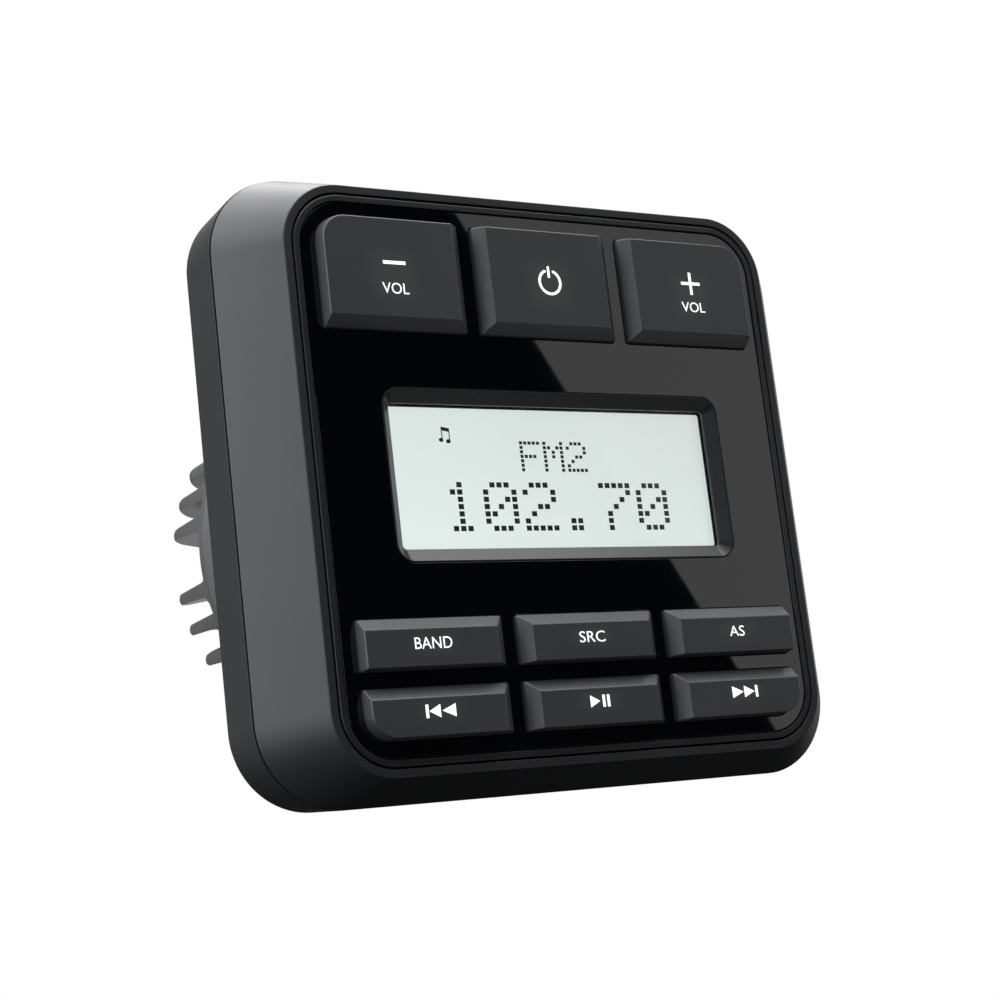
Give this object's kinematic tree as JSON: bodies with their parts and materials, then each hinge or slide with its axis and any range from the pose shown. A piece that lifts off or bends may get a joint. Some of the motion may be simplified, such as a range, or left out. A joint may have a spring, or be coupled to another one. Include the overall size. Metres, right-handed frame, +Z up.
{
  "type": "marine stereo",
  "caption": "Dash-mounted marine stereo with a flared square front, press keys and a display, and a round barrel with a finned heat sink for a gauge hole.",
  "frame": {"origin": "on the barrel's axis, in the plane where the gasket meets the dash", "axes": "+X to the right as a user faces the front, +Y along the barrel into the dash, +Z up"},
  "size_m": [0.1108, 0.0815, 0.1012],
  "materials": {
    "bezel_plastic": "satin moulded plastic, charcoal",
    "band_plastic": "satin moulded plastic, darker charcoal",
    "frame_plastic": "satin black plastic",
    "panel_gloss": "high-gloss black panel",
    "key_plastic": "satin dark grey keys",
    "window_clear": "clear hard-coated window",
    "lcd_pale": "pale backlit display cell",
    "light_guide": "clear-white moulded light guide",
    "holder_white": "white plastic holder",
    "mat_silicone": "moulded silicone",
    "board_green": "green solder mask on laminate",
    "chip_black": "black moulding compound",
    "socket_ivory": "ivory connector plastic",
    "barrel_plastic": "glass-filled plastic, fine texture",
    "sink_coated": "die-cast aluminium, grey powder coat",
    "shield_tin": "tinned shield can",
    "capacitor_sleeve": "shrink sleeve, dark blue",
    "screw_steel": "stainless steel",
    "seal_rubber": "black rubber seal",
    "gasket_foam": "closed-cell foam gasket",
    "gland_rubber": "moulded black rubber"
  },
  "bodies": {
    "unit": {"front_bezel": "bezel_plastic", "bezel_seal": "seal_rubber", "rear_frame": "band_plastic", "bezel_screws": "screw_steel", "dash_gasket": "gasket_foam", "panel_seal": "seal_rubber", "panel_frame": "frame_plastic", "face_panel": "panel_gloss", "display_frame": "frame_plastic", "lcd_window": "window_clear", "lcd_cell": "lcd_pale", "lcd_backlight": "light_guide", "lcd_holder": "holder_white", "upper_key_mat": "mat_silicone", "lower_key_mat": "mat_silicone", "key_board": "board_green", "key_switches": "chip_black", "key_lights": "light_guide", "board_screws": "screw_steel", "controller_chip": "chip_black", "front_socket": "socket_ivory", "link_board": "board_green", "rear_socket": "socket_ivory", "barrel_housing": "barrel_plastic", "barrel_seal": "seal_rubber", "barrel_screws": "screw_steel", "main_board": "board_green", "main_board_screws": "screw_steel", "tuner_module": "shield_tin", "capacitors": "capacitor_sleeve", "amplifier_chip": "chip_black", "heatsink": "sink_coated", "heatsink_seal": "seal_rubber", "heatsink_screws": "screw_steel", "harness_gland": "gland_rubber", "antenna_gland": "gland_rubber"},
    "volume_down": {"volume_down_key": "key_plastic"},
    "power": {"power_key": "key_plastic"},
    "volume_up": {"volume_up_key": "key_plastic"},
    "band": {"band_key": "key_plastic"},
    "source": {"source_key": "key_plastic"},
    "store": {"store_key": "key_plastic"},
    "previous": {"previous_key": "key_plastic"},
    "play_pause": {"play_pause_key": "key_plastic"},
    "next": {"next_key": "key_plastic"}
  },
  "joints": [
    {"name": "volume_down_press", "type": "slide", "parent": "unit", "child": "volume_down", "axis": [0, 1, 0], "range_m": [0, 0.0008], "stiffness_N_per_m": 450, "springref_m": -0.002, "deforming": ["upper_key_mat"]},
    {"name": "power_press", "type": "slide", "parent": "unit", "child": "power", "axis": [0, 1, 0], "range_m": [0, 0.0008], "stiffness_N_per_m": 450, "springref_m": -0.002, "deforming": ["upper_key_mat"]},
    {"name": "volume_up_press", "type": "slide", "parent": "unit", "child": "volume_up", "axis": [0, 1, 0], "range_m": [0, 0.0008], "stiffness_N_per_m": 450, "springref_m": -0.002, "deforming": ["upper_key_mat"]},
    {"name": "band_press", "type": "slide", "parent": "unit", "child": "band", "axis": [0, 1, 0], "range_m": [0, 0.0008], "stiffness_N_per_m": 450, "springref_m": -0.002, "deforming": ["lower_key_mat"]},
    {"name": "source_press", "type": "slide", "parent": "unit", "child": "source", "axis": [0, 1, 0], "range_m": [0, 0.0008], "stiffness_N_per_m": 450, "springref_m": -0.002, "deforming": ["lower_key_mat"]},
    {"name": "store_press", "type": "slide", "parent": "unit", "child": "store", "axis": [0, 1, 0], "range_m": [0, 0.0008], "stiffness_N_per_m": 450, "springref_m": -0.002, "deforming": ["lower_key_mat"]},
    {"name": "previous_press", "type": "slide", "parent": "unit", "child": "previous", "axis": [0, 1, 0], "range_m": [0, 0.0008], "stiffness_N_per_m": 450, "springref_m": -0.002, "deforming": ["lower_key_mat"]},
    {"name": "play_pause_press", "type": "slide", "parent": "unit", "child": "play_pause", "axis": [0, 1, 0], "range_m": [0, 0.0008], "stiffness_N_per_m": 450, "springref_m": -0.002, "deforming": ["lower_key_mat"]},
    {"name": "next_press", "type": "slide", "parent": "unit", "child": "next", "axis": [0, 1, 0], "range_m": [0, 0.0008], "stiffness_N_per_m": 450, "springref_m": -0.002, "deforming": ["lower_key_mat"]}
  ]
}
